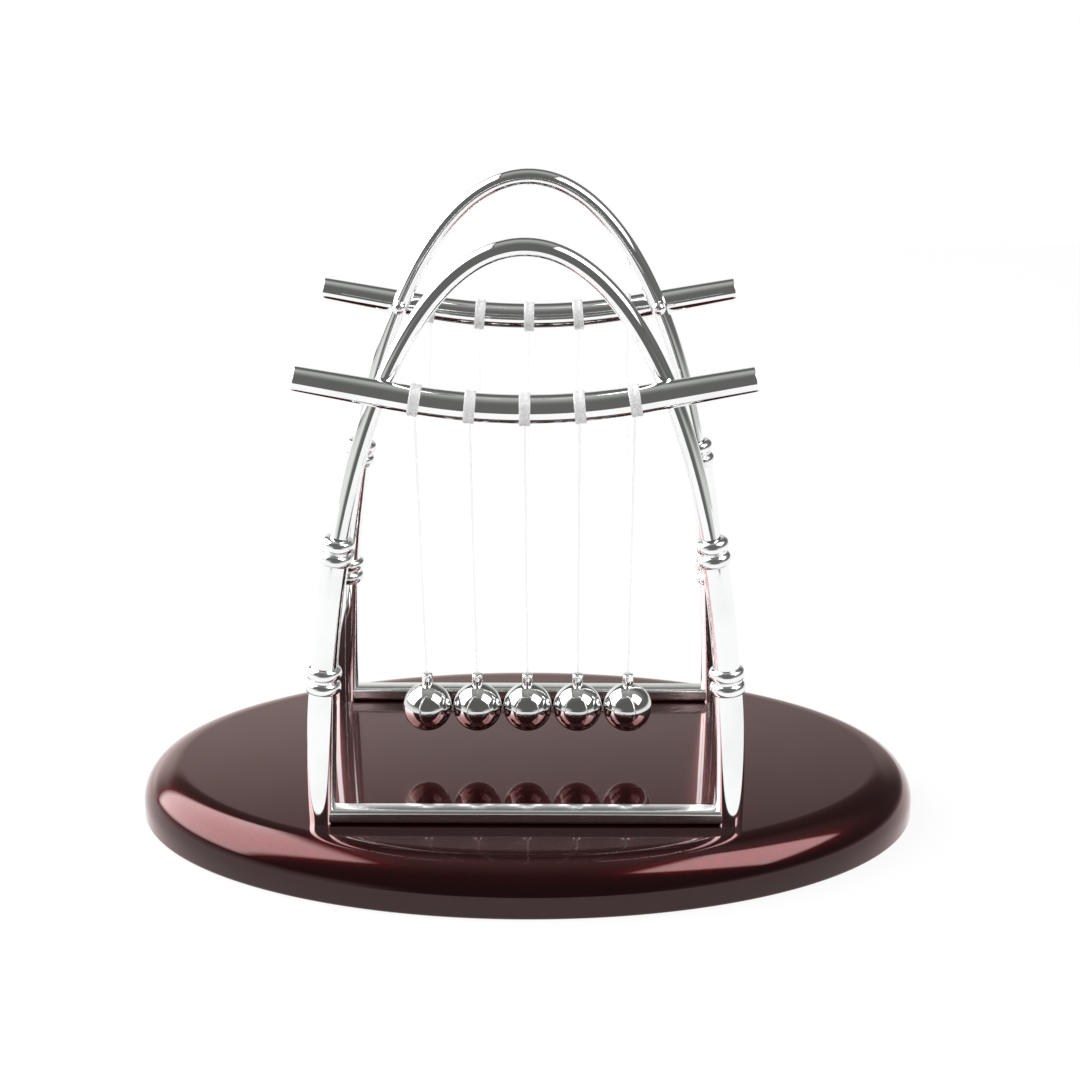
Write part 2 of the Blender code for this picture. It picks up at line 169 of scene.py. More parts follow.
def lacquered(name, look):
    fixed = {
        "Metallic": look["metal"], "Specular IOR Level": look["specular"],
        "Specular Tint": look["edgeTint"], "Coat IOR": look["coatIor"],
        "Coat Roughness": look["coatRoughness"],
    }
    finish, shader, root = startFinish(name, fixed)
    place = root.make("ShaderNodeTexCoord", output="Object")
    cells = {"Vector": place, "Scale": look["flakeScale"]}
    flake = root.make("ShaderNodeTexVoronoi", inputs=cells, output="Color")
    spark = root.make("ShaderNodeSeparateColor", inputs={"Color": flake})
    cloud = grain(root, look["cloudScale"], 5)
    height = root.make("ShaderNodeSeparateXYZ", inputs={0: place}, output="Z")
    paint = (spark * look["flakeShare"] + cloud * look["cloudShare"]).tint(look["deep"], look["flake"])
    # base colour darker lower down on the rim
    lowRimDarkening = look["thin"] + (1.0 - look["thin"]) * fade(height, *look["lowRimRise"])
    root.feed(shader.inputs["Base Color"], lowRimDarkening.scaled(paint))
    root.feed(shader.inputs["Roughness"], look["roughness"] + look["cloudRoughness"] * cloud)
    root.feed(shader.inputs["Normal"], ripple(root, spark, look["flakeStrength"], look["flakeDepth"]))
    streaks = grain(root, look["wipeScale"], 6)
    wipe = root.make("ShaderNodeValToRGB", {"stops": look["wipeStops"]}, {"Fac": streaks})
    root.feed(shader.inputs["Coat Weight"], wipe)
    return finish


undersideLook = {
    "dark": (0.018, 0.010, 0.008), "light": (0.050, 0.028, 0.020), "specular": 0.3, "roughness": 0.62,
    "fibreScale": 22, "fibreStretch": (6, 60, 60), "fibreRoughness": 0.2, "fibreStrength": 0.25,
    "fibreDepth": 0.0001,
}


def stained(name, look):
    finish, shader, root = startFinish(name, {"Specular IOR Level": look["specular"]})
    fibre = grain(root, look["fibreScale"], 8, look["fibreStretch"])
    root.feed(shader.inputs["Base Color"], fibre.tint(look["dark"], look["light"]))
    root.feed(shader.inputs["Roughness"], look["roughness"] + look["fibreRoughness"] * fibre)
    root.feed(shader.inputs["Normal"], ripple(root, fibre, look["fibreStrength"], look["fibreDepth"]))
    return finish


nylonLook = {
    "clear": (0.97, 0.97, 0.97), "cloudy": (0.90, 0.91, 0.91), "ior": 1.25, "through": 0.95,
    "cloudScale": 420, "roughness": 0.08, "cloudRoughness": 0.14,
    "clearEnd": 0.13, "cloudyEnd": 0.8, "climb": (0.06, 0.105),
}


def monofilament(name, look):
    finish, shader, root = startFinish(name, {"Transmission Weight": look["through"], "IOR": look["ior"]})
    cloud = grain(root, look["cloudScale"], 3)
    place = root.make("ShaderNodeTexCoord", output="Object")
    height = root.make("ShaderNodeSeparateXYZ", inputs={0: place}, output="Z")
    # clearer towards the ball
    solid = look["clearEnd"] + (look["cloudyEnd"] - look["clearEnd"]) * fade(height, *look["climb"])
    root.feed(shader.inputs["Alpha"], solid)
    root.feed(shader.inputs["Base Color"], cloud.tint(look["clear"], look["cloudy"]))
    root.feed(shader.inputs["Roughness"], look["roughness"] + look["cloudRoughness"] * cloud)
    return finish


bandLook = {
    "light": (0.95, 0.955, 0.95), "shade": (0.88, 0.885, 0.88), "ior": 1.49, "through": 0.3,
    "roughness": 0.2, "cloudScale": 520, "cloudRoughness": 0.15, "cloudStrength": 0.15,
    "cloudDepth": 0.00008,
}


def milky(name, look):
    finish, shader, root = startFinish(name, {"Transmission Weight": look["through"], "IOR": look["ior"]})
    cloud = grain(root, look["cloudScale"], 4)
    root.feed(shader.inputs["Base Color"], cloud.tint(look["light"], look["shade"]))
    root.feed(shader.inputs["Roughness"], look["roughness"] + look["cloudRoughness"] * cloud)
    root.feed(shader.inputs["Normal"], ripple(root, cloud, look["cloudStrength"], look["cloudDepth"]))
    return finish


zincLook = {
    "bright": (0.66, 0.67, 0.69), "dull": (0.42, 0.43, 0.45), "roughness": 0.3,
    "mottleScale": 900, "mottleRoughness": 0.2, "mottleStrength": 0.1, "mottleDepth": 0.00005,
}


def zincPlated(name, look):
    finish, shader, root = startFinish(name, {"Metallic": 1.0})
    mottle = grain(root, look["mottleScale"], 5)
    root.feed(shader.inputs["Base Color"], mottle.tint(look["bright"], look["dull"]))
    root.feed(shader.inputs["Roughness"], look["roughness"] + look["mottleRoughness"] * mottle)
    root.feed(shader.inputs["Normal"], ripple(root, mottle, look["mottleStrength"], look["mottleDepth"]))
    return finish


chrome = plated("chromePlate", chromeLook)
ballSteel = plated("polishedSteel", ballLook)
castChrome = plated("castChrome", castLook)
satin = plated("satinPlate", satinLook)
lacquer = lacquered("cherryLacquer", lacquerLook)
underside = stained("stainedUnderside", undersideLook)
nylon = monofilament("clearNylon", nylonLook)
band = milky("milkyBand", bandLook)
zinc = zincPlated("zincPlate", zincLook)
print("finishes made")


# Shapes

def addPiece(node, body, shape, finish, name=None):
    words = node.split("_")
    name = name or words[0] + "".join(word.capitalize() for word in words[1:])
    mesh = bpy.data.meshes.new(name)
    shape.to_mesh(mesh)
    shape.free()
    mesh.shade_smooth()
    mesh.set_sharp_from_angle(angle=sharpAngle)
    mesh.materials.append(finish)
    piece = bpy.data.objects.new(name, mesh)
    bpy.context.scene.collection.objects.link(piece)
    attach(piece, body)
    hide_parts(node)
    return piece


def cutPiece(piece, cutters):  # takes the cutter shapes out of the piece and keeps its mesh
    for shape in cutters:
        mesh = bpy.data.meshes.new("cutter")
        shape.to_mesh(mesh)
        shape.free()
        cutter = bpy.data.objects.new("cutter", mesh)
        bpy.context.scene.collection.objects.link(cutter)
        cut = piece.modifiers.new("cut", "BOOLEAN")
        cut.object = cutter
        bpy.context.view_layer.update()
        done = bpy.data.meshes.new_from_object(piece.evaluated_get(bpy.context.evaluated_depsgraph_get()))
        piece.modifiers.clear()
        piece.data = done
        bpy.data.objects.remove(cutter, do_unlink=True)
    piece.data.set_sharp_from_angle(angle=sharpAngle)


def stations(points, radii, across):  # a turned, scaled place for each ring of a bar
    places = []
    for index, (point, radius) in enumerate(zip(points, radii)):
        along = points[min(index + 1, len(points) - 1)] - points[max(index - 1, 0)]
        along.normalize()
        turn = Matrix((across, along.cross(across), along)).transposed().to_4x4()
        places.append(Matrix.Translation(point) @ turn @ Matrix.Diagonal((radius, radius, 1, 1)))
    return places


def sweep(places, ringSides, endRound=0.0, endSteps=4):  # a round bar through the stations
    rod = bmesh.new()
    bmesh.ops.create_circle(rod, segments=ringSides, radius=1.0, matrix=places[0])
    firstRim = rod.edges[:]
    rim = firstRim
    for before, after in zip(places, places[1:]):
        grown = bmesh.ops.extrude_edge_only(rod, edges=rim)["geom"]
        ring = {item for item in grown if isinstance(item, bmesh.types.BMVert)}
        edges = [item for item in grown if isinstance(item, bmesh.types.BMEdge)]
        rim = [edge for edge in edges if ring.issuperset(edge.verts)]
        bmesh.ops.transform(rod, matrix=after @ before.inverted(), verts=list(ring))
    for ends in (firstRim, rim):
        bmesh.ops.edgeloop_fill(rod, edges=ends)
    bmesh.ops.recalc_face_normals(rod, faces=rod.faces)
    if endRound:
        bmesh.ops.bevel(
            rod, geom=firstRim + rim, offset=endRound, offset_type="OFFSET", segments=endSteps,
            profile=0.5, affect="EDGES", material=-1,
        )
    return rod


def turned(profile, ringSides, place=Matrix.Identity(4)):  # (radius, height) points spun about Z
    shape = bmesh.new()
    points = [shape.verts.new((radius, 0, height)) for radius, height in profile]
    edges = [shape.edges.new(pair) for pair in zip(points, points[1:])]
    bmesh.ops.spin(
        shape, geom=points + edges, axis=(0, 0, 1), cent=(0, 0, 0), angle=math.tau, steps=ringSides,
        use_merge=True, use_duplicate=False,
    )
    bmesh.ops.remove_doubles(shape, verts=shape.verts, dist=weld)
    bmesh.ops.recalc_face_normals(shape, faces=shape.faces)
    bmesh.ops.transform(shape, matrix=place, verts=shape.verts)
    return shape


def aim(point, along):  # stands Z along a direction at a point
    turn = Vector((0, 0, 1)).rotation_difference(Vector(along)).to_matrix().to_4x4()
    return Matrix.Translation(point) @ turn


def spread(start, end, steps):
    return [start + (end - start) * step / steps for step in range(steps + 1)]


# Base

frameCurve = {"halfSpan": 0.04525, "height": 0.1302, "fullness": 0.89, "spacing": 0.0735, "baseTop": 0.0124}
baseShape = {
    "length": 0.180, "depth": 0.123, "thick": 0.0124, "topRound": 0.009, "topSteps": 22,
    "footRound": 0.0008, "footSteps": 4, "ringSides": 224, "calm": 0.0004, "facesDown": -0.9,
    "holeRadius": 0.0032, "holeDepth": 0.003, "holeSides": 48,
}


def rimEdges(shape, height):
    return [edge for edge in shape.edges if all(abs(vert.co.z - height) < nearly for vert in edge.verts)]


def makeBase(size):
    base = bmesh.new()
    thick = size["thick"]
    bmesh.ops.create_cone(
        base, cap_ends=True, segments=size["ringSides"], radius1=0.5, radius2=0.5, depth=thick,
        matrix=Matrix.Translation((0, 0, thick / 2)),
    )
    bmesh.ops.scale(base, vec=(size["length"], size["depth"], 1), verts=base.verts)
    topEdge = (thick, size["topRound"], size["topSteps"])
    footEdge = (0, size["footRound"], size["footSteps"])
    for height, amount, steps in (topEdge, footEdge):
        bmesh.ops.bevel(
            base, geom=rimEdges(base, height), offset=amount, offset_type="OFFSET", segments=steps,
            profile=0.5, affect="EDGES", material=-1,
        )
    flats = [face for face in base.faces if len(face.verts) > 4]
    bmesh.ops.inset_individual(base, faces=flats, thickness=size["calm"])  # keeps the flats' shading flat
    piece = addPiece("base", "stand", base, lacquer, "ovalBase")
    piece.data.materials.append(underside)
    for face in piece.data.polygons:
        if face.normal.z < size["facesDown"]:
            face.material_index = 1
    radius = size["holeRadius"]
    depth = size["holeDepth"]
    profile = [(0, depth), (radius, depth), (radius, -depth), (0, -depth)]
    holes = []  # for the heads of the screws
    for x in (-frameCurve["halfSpan"], frameCurve["halfSpan"]):
        for y in (-frameCurve["spacing"] / 2, frameCurve["spacing"] / 2):
            holes.append(turned(profile, size["holeSides"], Matrix.Translation((x, y, 0))))
    cutPiece(piece, holes)


# Frames

legShape = {
    "foot": 0.0058, "belly": 0.0066, "neck": 0.0062, "upper": 0.0059, "sunk": 0.003, "ringSides": 48,
    "lowerSteps": 26, "upperSteps": 18, "tuck": 0.0004,
}
collarShape = {
    "low": {"rise": 0.0337, "diameter": 0.0079}, "high": {"rise": 0.0633, "diameter": 0.0073},
    "length": 0.006, "groove": 0.0005, "beadRise": 0.0007, "beadPower": 0.55, "beadSteps": 10,
    "bore": 0.0021, "ringSides": 64, "probe": 0.0005,
}
archShape = {"diameter": 0.004, "ringSides": 40, "steps": 150}
crossbarShape = {
    "depth": 0.0048, "height": 0.0032, "lift": 0.0001, "reach": 0.0436, "edge": 0.0008, "edgeSteps": 8,
    "calm": 0.0001, "crown": 0.00009, "crownSteps": 14, "flatFrom": 0.9999,
}


def framePoint(turn, y):
    rise = math.sin(turn) ** frameCurve["fullness"]
    x = frameCurve["halfSpan"] * math.cos(turn)
    return Vector((x, y, frameCurve["baseTop"] + frameCurve["height"] * rise))


def frameTurn(rise):
    return math.asin((rise / frameCurve["height"]) ** (1 / frameCurve["fullness"]))


def legPoint(rise, side, y):  # straight down below the base's top
    if rise <= 0:
        return Vector((side * frameCurve["halfSpan"], y, frameCurve["baseTop"] + rise))
    point = framePoint(frameTurn(rise), y)
    return Vector((side * point.x, y, point.z))


def makeLowerLeg(tag, side, y):
    top = collarShape["low"]["rise"] - collarShape["length"] / 2
    rises = [-legShape["sunk"]] + spread(0, top + legShape["tuck"], legShape["lowerSteps"])
    radii = []
    for rise in rises:
        part = max(rise, 0) / top
        straight = legShape["foot"] + (legShape["neck"] - legShape["foot"]) * part
        belly = legShape["belly"] - (legShape["foot"] + legShape["neck"]) / 2
        radii.append((straight + belly * 4 * part * (1 - part)) / 2)
    points = [legPoint(rise, side, y) for rise in rises]
    rod = sweep(stations(points, radii, depthAxis), legShape["ringSides"])
    addPiece("leg_lower_" + tag, "stand", rod, chrome)


def makeUpperLeg(tag, side, y):
    half = collarShape["length"] / 2 - legShape["tuck"]
    low = collarShape["low"]["rise"] + half
    high = collarShape["high"]["rise"] - half
    points = [legPoint(rise, side, y) for rise in spread(low, high, legShape["upperSteps"])]
    radii = [legShape["upper"] / 2] * len(points)
    rod = sweep(stations(points, radii, depthAxis), legShape["ringSides"])
    addPiece("leg_upper_" + tag, "stand", rod, chrome)


def makeCollar(level, tag, side, y):
    outer = collarShape[level]["diameter"] / 2
    half = collarShape["length"] / 2
    groove = outer - collarShape["beadRise"]
    bead = half - collarShape["groove"] / 2
    profile = [(collarShape["bore"], half)]
    for top in (half, -collarShape["groove"] / 2):
        for part in spread(0, 1, collarShape["beadSteps"]):
            swell = math.sin(math.pi * part) ** collarShape["beadPower"]
            profile.append((groove + collarShape["beadRise"] * swell, top - bead * part))
    profile += [(collarShape["bore"], -half), (collarShape["bore"], half)]
    rise = collarShape[level]["rise"]
    probe = collarShape["probe"]
    along = legPoint(rise + probe, side, y) - legPoint(rise - probe, side, y)
    place = aim(legPoint(rise, side, y), along)
    ring = turned(profile, collarShape["ringSides"], place)
    addPiece(f"collar_{level}_{tag}", "stand", ring, castChrome)


def makeArch(name, y):
    start = frameTurn(collarShape["high"]["rise"])
    points = [framePoint(turn, y) for turn in spread(start, math.pi - start, archShape["steps"])]
    radii = [archShape["diameter"] / 2] * len(points)
    rod = sweep(stations(points, radii, depthAxis), archShape["ringSides"])
    addPiece("arch_" + name, "stand", rod, chrome)


def makeCrossbar(name, y):  # a bar with rounded edges and a slightly domed top
    size = crossbarShape
    bar = bmesh.new()
    bmesh.ops.create_cube(bar, size=1.0)
    bmesh.ops.scale(bar, vec=(2 * size["reach"], size["depth"], size["height"]), verts=bar.verts)
    edges = [edge for edge in bar.edges if abs(edge.verts[0].co.x - edge.verts[1].co.x) > size["reach"]]
    bmesh.ops.bevel(
        bar, geom=edges, offset=size["edge"], offset_type="OFFSET", segments=size["edgeSteps"], profile=0.5,
        affect="EDGES", material=-1,
    )
    flats = [face for face in bar.faces if max(abs(face.normal.y), -face.normal.z) > size["flatFrom"]]
    bmesh.ops.inset_individual(bar, faces=flats, thickness=size["calm"])
    top = max(bar.faces, key=lambda face: face.calc_center_median().z)
    across = [edge for edge in top.edges if abs(edge.verts[0].co.x - edge.verts[1].co.x) < size["calm"]]
    bmesh.ops.subdivide_edges(bar, edges=across, cuts=size["crownSteps"])
    for vert in bar.verts:
        if vert.co.z > 0:
            vert.co.z += size["crown"] * (1 - (2 * vert.co.y / size["depth"]) ** 2)
    height = frameCurve["baseTop"] + size["lift"] + size["height"] / 2
    bmesh.ops.translate(bar, vec=(0, y, height), verts=bar.verts)
    addPiece("crossbar_" + name, "stand", bar, satin)


# Rails, their rivets and the clips on them

railShape = {
    "length": 0.0974, "rise": 0.0961, "offset": 0.0032, "bendRadius": 0.139, "bendHalf": 0.0255,
    "middle": 0.0062, "end": 0.0054, "ringSides": 64, "steps": 96, "endRound": 0.0001,
}
rivetShape = {
    "head": 0.0034, "dome": 0.0017, "domeSteps": 10, "sunk": 0.0003, "shank": 0.0016, "ringSides": 40,
}
clipShape = {
    "width": 0.0024, "gap": 0.0001, "wall": 0.00045, "shoulder": 0.4, "dip": 0.00016, "dipPower": 12,
    "steps": 24, "ringSides": 56,
}


def railHeight(x):
    bent = min(abs(x), railShape["bendHalf"])
    straight = abs(x) - bent
    rise = (bent**2 / 2 + straight * railShape["bendHalf"]) / railShape["bendRadius"]
    return frameCurve["baseTop"] + railShape["rise"] + rise


def railSlope(x):
    return math.copysign(min(abs(x), railShape["bendHalf"]) / railShape["bendRadius"], x)


def railRadius(x):
    swell = railShape["middle"] - railShape["end"]
    return (railShape["end"] + swell * (1 - (2 * x / railShape["length"]) ** 2)) / 2


railY = frameCurve["spacing"] / 2 + railShape["offset"]


def makeRail(name, depth):
    half = railShape["length"] / 2
    reach = spread(-half, half, railShape["steps"])
    points = [Vector((x, depth * railY, railHeight(x))) for x in reach]
    rod = sweep(
        stations(points, [railRadius(x) for x in reach], depthAxis), railShape["ringSides"],
        railShape["endRound"],
    )
    addPiece("rail_" + name, "stand", rod, chrome)


def crossing(halvings=40):  # where the arch passes behind the rail
    low = frameTurn(collarShape["high"]["rise"])
    high = math.pi / 2
    for step in range(halvings):
        middle = (low + high) / 2
        point = framePoint(middle, 0)
        if point.z < railHeight(point.x):
            low = middle
        else:
            high = middle
    return framePoint(low, 0)


def makeRivet(tag, side, depth):
    spot = crossing()
    place = aim((side * spot.x, depth * frameCurve["spacing"] / 2, spot.z), (0, -depth, 0))
    seat = archShape["diameter"] / 2 - rivetShape["sunk"]
    head = rivetShape["head"] / 2
    shank = rivetShape["shank"] / 2
    profile = []
    for turn in spread(0, math.pi / 2, rivetShape["domeSteps"]):
        profile.append((head * math.sin(turn), seat + rivetShape["dome"] * math.cos(turn)))
    profile += [(shank, seat), (shank, 0), (0, 0)]
    addPiece("rivet_" + tag, "stand", turned(profile, rivetShape["ringSides"], place), chrome)


def makeClip(name, depth, number, x):
    inner = railRadius(x) + clipShape["gap"]
    outer = inner + clipShape["wall"]
    half = clipShape["width"] / 2
    profile = [(inner, half)]
    for turn in spread(0, math.pi, clipShape["steps"]):  # two soft beads with a dip between them
        edge = clipShape["wall"] * (1 - math.sin(turn) ** clipShape["shoulder"])
        dip = clipShape["dip"] * math.sin(turn) ** clipShape["dipPower"]
        profile.append((outer - edge - dip, half * math.cos(turn)))
    profile += [(inner, -half), (inner, half)]
    place = aim((x, depth * railY, railHeight(x)), (1, 0, railSlope(x)))
    ring = turned(profile, clipShape["ringSides"], place)
    addPiece(f"clip_{name}_{number}", "stand", ring, band)


# Screws under the base

screwShape = {
    "head": 0.0052, "headHeight": 0.0018, "headRound": 0.0007, "headPower": 0.6, "headSteps": 6,
    "under": 0.0027, "shank": 0.0024, "tip": 0.0121, "tipChamfer": 0.0006, "ringSides": 40,
    "slot": 0.0007, "slotReach": 1.3, "slotLift": 0.0003, "slotDepth": 0.0014,
}


def makeScrew(tag, side, y):
    size = screwShape
    head = size["head"] / 2
    shank = size["shank"] / 2
    low = size["under"] - size["headHeight"]
    profile = [(0, size["tip"]), (shank, size["tip"] - size["tipChamfer"]), (shank, size["under"])]
    profile.append((head, size["under"]))
    for turn in spread(0, math.pi / 2, size["headSteps"]):
        rounded = size["headRound"] * (1 - math.sin(turn))
        profile.append((head * math.cos(turn) ** size["headPower"], low + rounded))
    place = Matrix.Translation((side * frameCurve["halfSpan"], y, 0))
    piece = addPiece("screw_" + tag, "stand", turned(profile, size["ringSides"], place), zinc)
    reach = head * size["slotReach"]
    middle = place @ Matrix.Translation((0, 0, low + size["slotLift"]))
    slots = []
    for length, width in ((reach, size["slot"]), (size["slot"], reach)):
        slot = bmesh.new()
        block = Matrix.Diagonal((length, width, size["slotDepth"], 1))
        bmesh.ops.create_cube(slot, size=1.0, matrix=middle @ block)
        slots.append(slot)
    cutPiece(piece, slots)


# Balls, studs and lines

ballShape = {
    "count": 5, "diameter": 0.01136, "pitch": 0.01166, "rise": 0.01256, "segments": 96, "rings": 64,
    "crown": 0.00016,
}
studShape = {
    "diameter": 0.0025, "height": 0.0026, "edgeRound": 0.0003, "edgeSteps": 6, "sunk": 0.0006,
    "eye": 0.0011, "eyeRise": 0.0014, "eyeSides": 32, "ringSides": 48,
}
lineShape = {
    "diameter": 0.0004, "eyeRun": 0.0005, "bend": 0.0012, "bendSteps": 24, "straightSteps": 8,
    "ringSides": 12, "tuck": 0.0003,
}


def makeBall(number, x):
    ball = bmesh.new()
    centre = frameCurve["baseTop"] + ballShape["rise"]
    top = centre + ballShape["diameter"] / 2
    bmesh.ops.create_uvsphere(
        ball, u_segments=ballShape["segments"], v_segments=ballShape["rings"],
        radius=ballShape["diameter"] / 2, matrix=Matrix.Translation((x, 0, centre)),
    )
    # a small flat for the stud
    crown = bmesh.ops.bisect_plane(
        ball, geom=ball.verts[:] + ball.edges[:] + ball.faces[:], plane_co=(x, 0, top - ballShape["crown"]),
        plane_no=(0, 0, 1), clear_outer=True,
    )["geom_cut"]
    edges = [item for item in crown if isinstance(item, bmesh.types.BMEdge)]
    bmesh.ops.edgeloop_fill(ball, edges=edges)
    bmesh.ops.recalc_face_normals(ball, faces=ball.faces)
    addPiece(f"ball_{number}", f"pendulum_{number}", ball, ballSteel)
    return top


def makeStud(number, x, top):
    outer = studShape["diameter"] / 2
    edge = studShape["edgeRound"]
    height = studShape["height"]
    profile = [(0, height)]
    for turn in spread(0, math.pi / 2, studShape["edgeSteps"]):
        profile.append((outer - edge + edge * math.sin(turn), height - edge + edge * math.cos(turn)))
    profile += [(outer, -studShape["sunk"]), (0, -studShape["sunk"])]
    place = Matrix.Translation((x, 0, top))
    shape = turned(profile, studShape["ringSides"], place)
    stud = addPiece(f"stud_{number}", f"pendulum_{number}", shape, chrome)
    radius = studShape["eye"] / 2
    reach = studShape["diameter"]
    profile = [(0, reach), (radius, reach), (radius, -reach), (0, -reach)]
    eye = aim((x, 0, top + studShape["eyeRise"]), depthAxis)
    cutPiece(stud, [turned(profile, studShape["eyeSides"], eye)])


def makeLine(number, x, top):
    eye = top + studShape["eyeRise"]
    rail = Vector((x, -railY, railHeight(x)))
    corner = Vector((x, -studShape["diameter"] / 2 - lineShape["eyeRun"], eye))
    climb = (rail - corner).normalized()
    clip = railRadius(x) + clipShape["gap"] + clipShape["wall"]
    first = rail - climb * (clip - lineShape["tuck"])
    start = corner + climb * lineShape["bend"]
    end = corner + Vector((0, lineShape["eyeRun"], 0))
    half = [first + (start - first) * part for part in spread(0, 1, lineShape["straightSteps"])[:-1]]
    for part in spread(0, 1, lineShape["bendSteps"]):
        half.append(start * (1 - part) ** 2 + corner * 2 * part * (1 - part) + end * part**2)
    points = half + [Vector((x, -point.y, point.z)) for point in reversed(half)]
    radii = [lineShape["diameter"] / 2] * len(points)
    line = sweep(stations(points, radii, rowAxis), lineShape["ringSides"])
    addPiece(f"line_{number}", f"pendulum_{number}", line, nylon)


makeBase(baseShape)
print("base made")
for name, depth in frames.items():
    y = depth * frameCurve["spacing"] / 2
    for sideName, side in sides.items():
        tag = name + "_" + sideName
        makeLowerLeg(tag, side, y)
        makeUpperLeg(tag, side, y)
        makeCollar("low", tag, side, y)
        makeCollar("high", tag, side, y)
        makeRivet(tag, side, depth)
        makeScrew(tag, side, y)
    makeArch(name, y)
    makeCrossbar(name, y)
    makeRail(name, depth)
print("frames made")
for index in range(ballShape["count"]):
    number = index + 1
    x = (index - (ballShape["count"] - 1) / 2) * ballShape["pitch"]
    for name, depth in frames.items():
        makeClip(name, depth, number, x)
    top = makeBall(number, x)
    makeStud(number, x, top)
    makeLine(number, x, top)
print("balls made")


# Studio

cameraView = {
    "target": (0.0029, 0, 0.06597), "azimuth": 0.48, "elevation": 18.62, "distance": 0.65025, "lens": 94.76,
    "sensor": 36,
}
tableShape = {
    "left": -0.9, "right": 0.9, "front": -0.27, "back": 0.6, "height": -0.0001, "white": 0.92, "glow": 0.9,
}
roomLook = {
    "radius": 2.0, "segments": 48, "rings": 24, "tint": (0.98, 1.0, 0.96, 1), "low": 0.13,
    "ceiling": 0.32, "ceilingPower": 2.0, "ceilingStart": (-0.75, 0.2), "ceilingEnd": (0.55, 0.2),
    "backWall": 0.64, "backTilt": 1.6, "backFade": (0.465, 0.34), "backSide": (0.6, 0.92),
    "leftWall": 0.7, "leftFade": (0.22, 0.0), "rightWall": 0.5, "rightFade": (0.12, -0.05),
    "wallSide": (0.35, 0.75),
}
softboxes = {
    "leftSoftbox": {
        "azimuth": -102, "elevation": 36, "roll": 10, "distance": 0.9, "width": 1.18, "height": 1.10,
        "light": 3.9, "panel": 5.4,
    },
    "rightSoftbox": {
        "azimuth": 66, "elevation": 44, "roll": 20, "distance": 0.9, "width": 0.64, "height": 0.74,
        "light": 2.6, "panel": 5.4,
    },
}
softboxTarget = Vector((0, 0, 0.05))
softFrom = 0.75  # share of a panel's half size where its edge starts to fade
worldFill = 0.4
plainWhite = (1, 1, 1, 1)


def direction(azimuth, elevation):  # azimuth 0 is towards the camera's side, 90 is +X
    turn = math.radians(azimuth)
    rise = math.radians(elevation)
    return Vector((math.sin(turn) * math.cos(rise), -math.cos(turn) * math.cos(rise), math.sin(rise)))


def lookAt(item, place, target, roll=0):  # puts an item in the scene, turned to its target
    item.location = place
    item.rotation_euler = (Vector(target) - place).to_track_quat("-Z", "Y").to_euler()
    item.rotation_euler.rotate_axis("Z", math.radians(roll))
    bpy.context.scene.collection.objects.link(item)


def makeCamera(view):
    lens = bpy.data.cameras.new("camera")
    lens.lens = view["lens"]
    lens.sensor_width = view["sensor"]
    camera = bpy.data.objects.new("camera", lens)
    place = Vector(view["target"]) + view["distance"] * direction(view["azimuth"], view["elevation"])
    lookAt(camera, place, view["target"])
    bpy.context.scene.camera = camera


def seenRays(root):  # 1 for what the camera, metal and glass see
    kinds = ("Is Camera Ray", "Is Glossy Ray", "Is Transmission Ray")
    camera, glossy, through = [root.make("ShaderNodeLightPath", output=kind) for kind in kinds]
    return root.maths("MINIMUM", camera + glossy + through, 1.0)


def mirroredOnly(item):
    for kind in ("camera", "diffuse", "transmission", "shadow", "volume_scatter"):
        setattr(item, "visible_" + kind, False)


def stageMaterial(name):
    finish = bpy.data.materials.new(name)
    finish.use_nodes = True
    finish.node_tree.nodes.clear()
    return finish, Wire(finish.node_tree)


def flatMesh(name, width, depth, middle=(0, 0, 0)):
    sheet = bmesh.new()
    bmesh.ops.create_grid(sheet, x_segments=1, y_segments=1, size=0.5)
    bmesh.ops.scale(sheet, vec=(width, depth, 1), verts=sheet.verts)
    bmesh.ops.translate(sheet, vec=middle, verts=sheet.verts)
    mesh = bpy.data.meshes.new(name)
    sheet.to_mesh(mesh)
    sheet.free()
    return mesh


def makeSoftbox(name, box):  # a lamp for the light, and a panel that only metal and lacquer mirror
    lamp = bpy.data.lights.new(name, "AREA")
    lamp.shape = "RECTANGLE"
    lamp.size = box["width"]
    lamp.size_y = box["height"]
    lamp.energy = box["light"] * math.pi * box["width"] * box["height"]
    light = bpy.data.objects.new(name, lamp)
    place = softboxTarget + box["distance"] * direction(box["azimuth"], box["elevation"])
    lookAt(light, place, softboxTarget, box["roll"])
    light.visible_camera = False
    light.visible_glossy = False
    mesh = flatMesh(name + "Panel", box["width"], box["height"])
    panel = bpy.data.objects.new(name + "Panel", mesh)
    lookAt(panel, place, softboxTarget, box["roll"])
    mirroredOnly(panel)
    finish, root = stageMaterial(name + "Glow")
    spot = root.make("ShaderNodeTexCoord", output="Object")
    strength = box["panel"]
    for axis, half in (("X", box["width"] / 2), ("Y", box["height"] / 2)):
        along = root.make("ShaderNodeSeparateXYZ", inputs={0: spot}, output=axis)
        strength = strength * fade(root.maths("ABSOLUTE", along, 0.0), half, half * softFrom)
    glow = root.make("ShaderNodeEmission", inputs={"Color": plainWhite, "Strength": strength})
    root.make("ShaderNodeOutputMaterial", inputs={"Surface": glow})
    mesh.materials.append(finish)


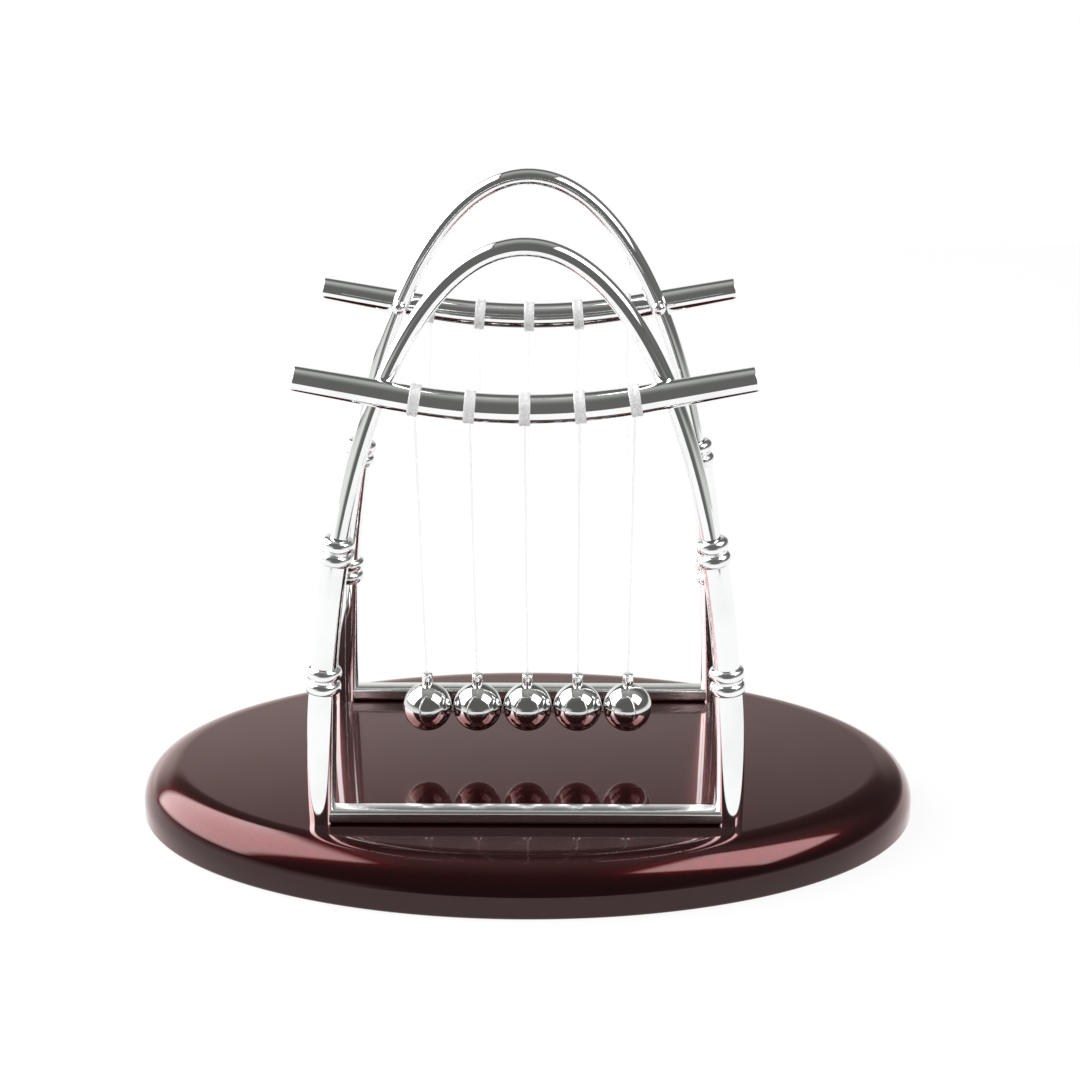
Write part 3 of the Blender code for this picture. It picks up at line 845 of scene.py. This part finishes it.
def makeTable(size):
    middle = ((size["left"] + size["right"]) / 2, (size["front"] + size["back"]) / 2, size["height"])
    mesh = flatMesh("table", size["right"] - size["left"], size["back"] - size["front"], middle)
    table = bpy.data.objects.new("table", mesh)
    bpy.context.scene.collection.objects.link(table)
    finish, root = stageMaterial("whiteTable")
    paper = (size["white"], size["white"], size["white"], 1)
    matt = root.make("ShaderNodeBsdfDiffuse", inputs={"Color": paper})
    glow = root.make("ShaderNodeEmission", inputs={"Color": plainWhite, "Strength": 1.0})
    mixed = root.make("ShaderNodeMixShader", inputs={0: seenRays(root) * size["glow"], 1: matt, 2: glow})
    root.make("ShaderNodeOutputMaterial", inputs={"Surface": mixed})
    mesh.materials.append(finish)


def makeRoom(look):  # grey studio walls that only metal and lacquer mirror
    dome = bmesh.new()
    bmesh.ops.create_uvsphere(
        dome, u_segments=look["segments"], v_segments=look["rings"], radius=look["radius"],
    )
    mesh = bpy.data.meshes.new("room")
    dome.to_mesh(mesh)
    dome.free()
    room = bpy.data.objects.new("room", mesh)
    bpy.context.scene.collection.objects.link(room)
    mirroredOnly(room)
    finish, root = stageMaterial("greyRoom")
    place = root.make("ShaderNodeTexCoord", output="Object")
    axes = root.make("ShaderNodeVectorMath", {"operation": "NORMALIZE"}, {0: place})
    parts = [root.make("ShaderNodeSeparateXYZ", inputs={0: axes}, output=axis) for axis in "XYZ"]
    across, behind, rise = parts
    upward = root.maths("MAXIMUM", rise, 0.0)
    ceiling = fade(behind, *look["ceilingStart"]) * fade(behind, *look["ceilingEnd"])
    ceiling = ceiling * root.maths("POWER", upward, look["ceilingPower"])
    grey = look["low"] + look["ceiling"] * ceiling
    back = look["backWall"] * (1.0 - look["backTilt"] * across)
    grey = grey + back * fade(behind, *look["backSide"]) * fade(rise, *look["backFade"])
    grey = grey + look["leftWall"] * fade(rise, *look["leftFade"]) * fade(0 - across, *look["wallSide"])
    grey = grey + look["rightWall"] * fade(rise, *look["rightFade"]) * fade(across, *look["wallSide"])
    glow = root.make("ShaderNodeEmission", inputs={"Color": look["tint"], "Strength": grey})
    root.make("ShaderNodeOutputMaterial", inputs={"Surface": glow})
    mesh.materials.append(finish)


def makeWorld(fill):
    world = bpy.data.worlds.new("studio")
    world.use_nodes = True
    world.node_tree.nodes.clear()
    root = Wire(world.node_tree)
    soft = root.make("ShaderNodeBackground", inputs={"Color": plainWhite, "Strength": fill})
    backdrop = root.make("ShaderNodeBackground", inputs={"Color": plainWhite, "Strength": 1.0})
    mixed = root.make("ShaderNodeMixShader", inputs={0: seenRays(root), 1: soft, 2: backdrop})
    root.make("ShaderNodeOutputWorld", inputs={"Surface": mixed})
    bpy.context.scene.world = world


makeCamera(cameraView)
for name, box in softboxes.items():
    makeSoftbox(name, box)
makeTable(tableShape)
makeRoom(roomLook)
makeWorld(worldFill)
bpy.context.scene.view_settings.view_transform = "Standard"
print("studio made")
